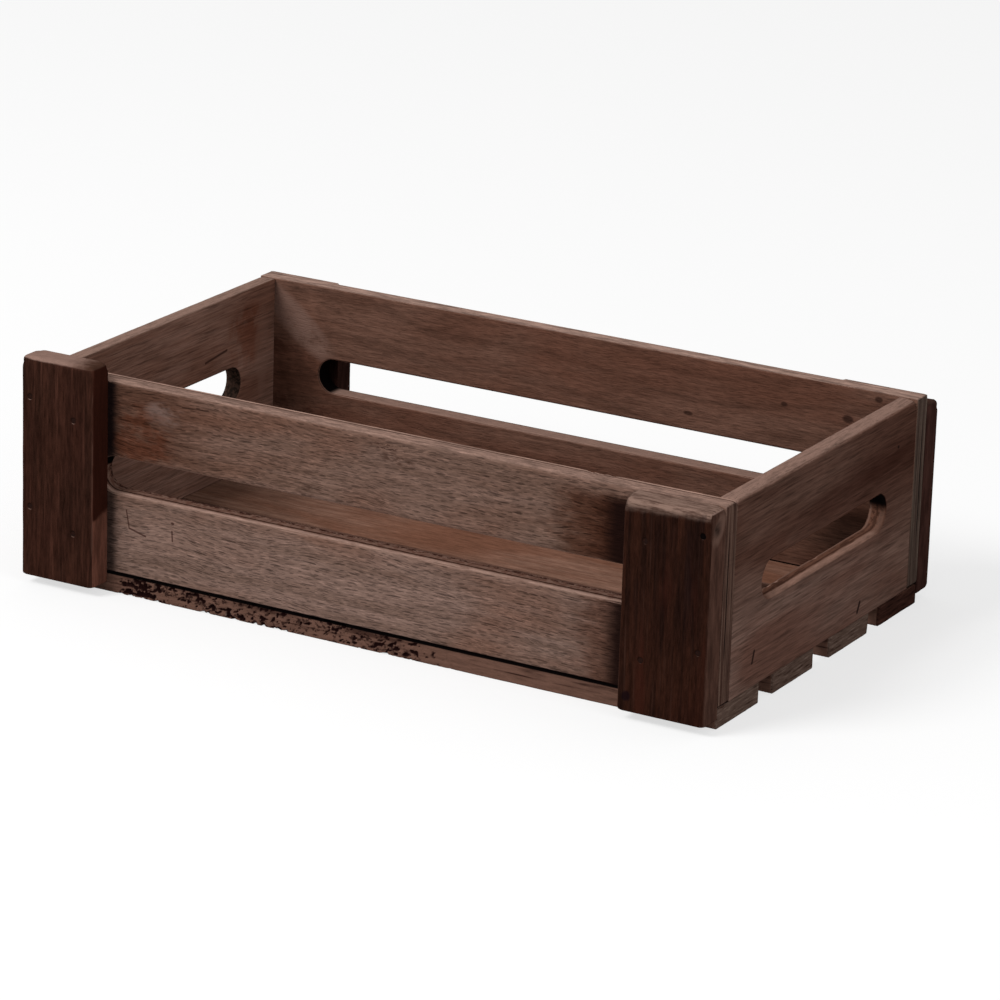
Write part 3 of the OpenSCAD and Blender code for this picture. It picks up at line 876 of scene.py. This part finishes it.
# Light, dark and reddish tone of each wood, then the tones of its cut edges; the end boards' last tone is
# the painted shade at the far end of their handle slots
FRONT_PALETTE = tones((114, 92, 83), (96, 76, 67), (99, 73, 62), (130, 104, 93),
                      (54, 34, 27), (98, 77, 67), (56, 39, 33))
BACK_PALETTE = tones((106, 77, 65), (91, 64, 53), (93, 62, 50), (140, 114, 103),
                     (62, 42, 35), (82, 70, 62), (54, 42, 37))
RIGHT_END_PALETTE = tones((108, 86, 77), (91, 70, 62), (90, 64, 55), (130, 103, 92),
                          (134, 103, 90), (92, 62, 50), (12, 8, 8))
LEFT_END_PALETTE = tones((127, 97, 85), (111, 81, 69), (106, 73, 60), (130, 104, 93),
                         (116, 88, 76), (92, 66, 55), (30, 23, 19))
RIGHT_POST_PALETTE = tones((43, 23, 16), (24, 13, 10), (38, 16, 12), (64, 44, 37), (134, 108, 97))
LEFT_POST_PALETTE = tones((50, 29, 22), (35, 20, 15), (39, 20, 15), (86, 54, 44), (120, 96, 87))
BACK_POST_PALETTE = tones((44, 26, 22), (32, 18, 15), (34, 18, 15), (48, 30, 26), (60, 42, 36))
SLAT_PALETTE = tones((130, 98, 83), (112, 80, 66), (112, 76, 60), (92, 67, 57), (46, 29, 24))
SAWN_ENDS = tones((108, 90, 81), (84, 67, 59), (52, 37, 31))
DARK_SAWN_ENDS = tones((66, 42, 35), (48, 29, 24), (26, 14, 12))


# The crate's boards

def dress(piece, material):
    """Gives a board its material."""
    piece.data.materials.append(material)


def torn_edge(points):
    """How deep the front edge of the first slat is torn, in millimetres."""
    depth = np.zeros(len(points))
    near_front = points[:, Y] < -PANEL_OUTER_Y + 1.5
    front = np.flatnonzero(near_front & (points[:, X] > -160) & (points[:, X] < 75))
    place = points[front]
    cluster = noise_at(place, 0.045, 0.2, 0.12)
    speck = noise_at(place + 50, 0.33, 0.4, 0.45) + 0.6 * noise_at(place + 90, 0.8, 0.8, 0.9)
    reach = ramp_of(place[:, X], -154, -140) * ramp_of(place[:, X], 62, 10)
    depth[front] = np.clip(speck + 0.7 * cluster - 0.12, 0, 1.0) * 2.4 * reach
    return np.clip(depth, 0, 1.5)


side_slot = {"front": Slot(0.0, SLOT_Z, SIDE_SLOT_REACH, SLOT_RADIUS, (2.2, 1.2)),
             "back": Slot(0.0, SLOT_Z, SIDE_SLOT_REACH, SLOT_RADIUS, (1.2, 2.2))}
handle = {"left": Slot(HANDLE_Y["left"], HANDLE_Z, HANDLE_REACH, SLOT_RADIUS, (2.2, 1.6)),
          "right": Slot(HANDLE_Y["right"], HANDLE_Z, HANDLE_REACH, SLOT_RADIUS, (1.6, 2.2))}

front_panel = board(
    "front_side_panel", "front_panel", 1.2, slots=[side_slot["front"]],
    rounds=[(Y, LOW, Z, HIGH, RIM_ROUND, LEFT_POST_X, RIGHT_POST_X), (X, HIGH, Z, HIGH, 1.6)],
    chips=[(120.0, -101.0, 114.0, 2.6, 1.6, 1.2, 0.9), (126.0, -101.2, 114.0, 3.6, 1.4, 1.2, 0.8),
           (132.0, -101.0, 114.0, 2.2, 1.3, 1.0, 0.8), (64.0, -112.0, 112.0, 4.0, 1.6, 1.4, 0.5)])
front_wood = panel_wood("front_panel_wood", "front", FRONT_PALETTE, seed=1.3, flecks=1.0, figure=0.0,
                        marks=front_panel_marks)
dress(front_panel, front_wood)

back_panel = board(
    "back_side_panel", "back_panel", 1.8, slots=[side_slot["back"]],
    rounds=[(Y, HIGH, Z, HIGH, RIM_ROUND, LEFT_POST_X, RIGHT_POST_X)])
back_wood = panel_wood("back_panel_wood", "back", BACK_PALETTE, seed=4.1, flecks=0.25, figure=1.0,
                       marks=back_panel_marks)
dress(back_panel, back_wood)

right_end = board(
    "right_end_board", "right_end", 1.1, slots=[handle["right"]], rounds=[(X, HIGH, Z, HIGH, RIM_ROUND)],
    chips=[(191.0, -55.0, 53.5, 1.8, 4.0, 1.6, 1.2), (191.0, -46.0, 53.5, 1.6, 3.4, 1.4, 1.0),
           (191.2, -38.0, 53.5, 1.4, 3.0, 1.3, 0.9), (191.0, 5.0, 53.5, 1.5, 4.5, 1.3, 0.9)])
dress(right_end, end_wood("right_end_wood", "right", RIGHT_END_PALETTE, 2.2, right_end_marks))

left_end = board(
    "left_end_board", "left_end", 1.8, slots=[handle["left"]], rounds=[(X, LOW, Z, HIGH, RIM_ROUND)])
dress(left_end, end_wood("left_end_wood", "left", LEFT_END_PALETTE, 6.4, left_end_marks))

for row, outer in (("front", LOW), ("back", HIGH)):
    for end, far in (("left", LOW), ("right", HIGH)):
        node = f"{row}_{end}_post"
        dents = [(outer, CORNER_NAIL_X * (1 if far else -1), z) for z in CORNER_NAIL_Z]
        dents += [(outer, POST_NAIL_X[end], z) for z in POST_NAIL_Z]
        rounds = [(Y, outer, X, LOW, 1.2), (Y, outer, X, HIGH, 1.2), (Y, outer, Z, HIGH, RIM_ROUND),
                  (X, far, Z, HIGH, 2.4)]
        if node == "front_left_post":
            rounds.append((X, HIGH, Z, HIGH, 2.4))
        chips = [(200.0, -121.0, 105.0, 1.6, 5.0, 5.0, 0.5)] if node == "front_right_post" else []
        post = board(node, f"{row}_{end}_upright", 1.3 if row == "front" else 2.0, ease=0.4,
                     rounds=rounds, dents=dents, chips=chips)
        if row == "back":
            material = post_wood(f"{node}_wood", 8.0 + far, BACK_POST_PALETTE)
        elif end == "left":
            material = post_wood(f"{node}_wood", 3.3, LEFT_POST_PALETTE, left_post_marks)
        else:
            material = post_wood(f"{node}_wood", 5.2, RIGHT_POST_PALETTE, right_post_marks)
        dress(post, material)

for number in (1, 2, 3, 4):
    front = number == 1
    slat = board(f"bottom_slat_{number}", f"slat_{number}", 1.0 if front else 2.0, ease=0.7, wear=0.5,
                 wall_step=0.8 if front else 2.5, rough=torn_edge if front else None)
    ends = DARK_SAWN_ENDS if number == 4 else SAWN_ENDS
    material = slat_wood(f"slat_{number}_wood", 1.9 * number, SLAT_PALETTE, ends, torn=1.0 if front else 0.0)
    dress(slat, material)

nail_material = steel("nail_steel")
for node in ("corner_nails", "post_nails", "side_slat_nails", "end_slat_nails"):
    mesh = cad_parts[node].data
    mesh.materials.clear()
    mesh.materials.append(nail_material)


# Floor, light and camera

FLOOR_GREY = 0.86
FLOOR_WHITE = 1.06
WHITE_SHARE = 0.62


def plain_stage():
    """Pale floor that keeps the crate's shadow, and reads white to the camera away from it."""
    mesh = bpy.data.meshes.new("floor")
    mesh.from_pydata([(-4, -4, 0), (4, -4, 0), (4, 4, 0), (-4, 4, 0)], [], [(0, 1, 2, 3)])
    floor = bpy.data.objects.new("floor", mesh)
    bpy.context.scene.collection.objects.link(floor)
    material = bpy.data.materials.new("pale_floor")
    material.use_nodes = True
    graph = material.node_tree
    graph.nodes.clear()
    diffuse = graph.nodes.new("ShaderNodeBsdfDiffuse")
    white = graph.nodes.new("ShaderNodeEmission")
    blend = graph.nodes.new("ShaderNodeMixShader")
    diffuse.inputs["Color"].default_value = (FLOOR_GREY, FLOOR_GREY, FLOOR_GREY, 1)
    white.inputs["Strength"].default_value = FLOOR_WHITE
    share = Field(graph, seen_share(graph)) * WHITE_SHARE
    graph.links.new(share.socket, blend.inputs[0])
    graph.links.new(diffuse.outputs[0], blend.inputs[1])
    graph.links.new(white.outputs[0], blend.inputs[2])
    graph.links.new(blend.outputs[0], graph.nodes.new("ShaderNodeOutputMaterial").inputs["Surface"])
    mesh.materials.append(material)


def seen_share(graph):
    """1 for rays from the camera and for reflected or refracted ones, 0 for the light on the crate."""
    path = graph.nodes.new("ShaderNodeLightPath")
    seen = Field(graph, path.outputs["Is Camera Ray"])
    for kind in ("Is Glossy Ray", "Is Transmission Ray"):
        seen = seen.most(Field(graph, path.outputs[kind]))
    return seen.socket


def plain_sky():
    """White to the camera, and a soft even light on the crate."""
    world = bpy.data.worlds.new("studio")
    bpy.context.scene.world = world
    world.use_nodes = True
    graph = world.node_tree
    background = graph.nodes["Background"]
    background.inputs["Color"].default_value = (1, 1, 1, 1)
    strength = Field(graph, seen_share(graph)) * 0.5 + 0.5
    graph.links.new(strength.socket, background.inputs["Strength"])


def lamp(name, place, target, size, power):
    """Round soft lamp in metres and watts, turned to its target."""
    light = bpy.data.lights.new(name, "AREA")
    light.shape = "DISK"
    light.size, light.energy = size, power
    holder = bpy.data.objects.new(name, light)
    holder.location = place
    holder.rotation_euler = (Vector(target) - Vector(place)).to_track_quat("-Z", "Y").to_euler()
    bpy.context.scene.collection.objects.link(holder)


def photo_camera(azimuth, elevation, roll, place, lens):
    """Camera of the photograph, fitted to its straight edges: angles in degrees, place in metres."""
    camera = bpy.data.cameras.new("camera")
    camera.lens, camera.sensor_width = lens, 36.0
    holder = bpy.data.objects.new("camera", camera)
    holder.location = place
    turn = Euler((math.radians(90 - elevation), 0, math.radians(azimuth)), "XYZ").to_matrix()
    holder.rotation_euler = (turn @ Euler((0, 0, math.radians(roll))).to_matrix()).to_euler()
    bpy.context.scene.collection.objects.link(holder)
    bpy.context.scene.camera = holder


plain_stage()
plain_sky()
crate_middle = (0, 0, 0.05)
lamp("key", (-1.3, -2.2, 2.6), crate_middle, size=1.6, power=95)
lamp("fill", (2.4, -0.9, 1.3), crate_middle, size=1.6, power=14)
photo_camera(azimuth=29.338, elevation=18.243, roll=1.82, place=(1.20707, -2.12553, 0.855), lens=178.45)
bpy.context.scene.view_settings.view_transform = "Standard"
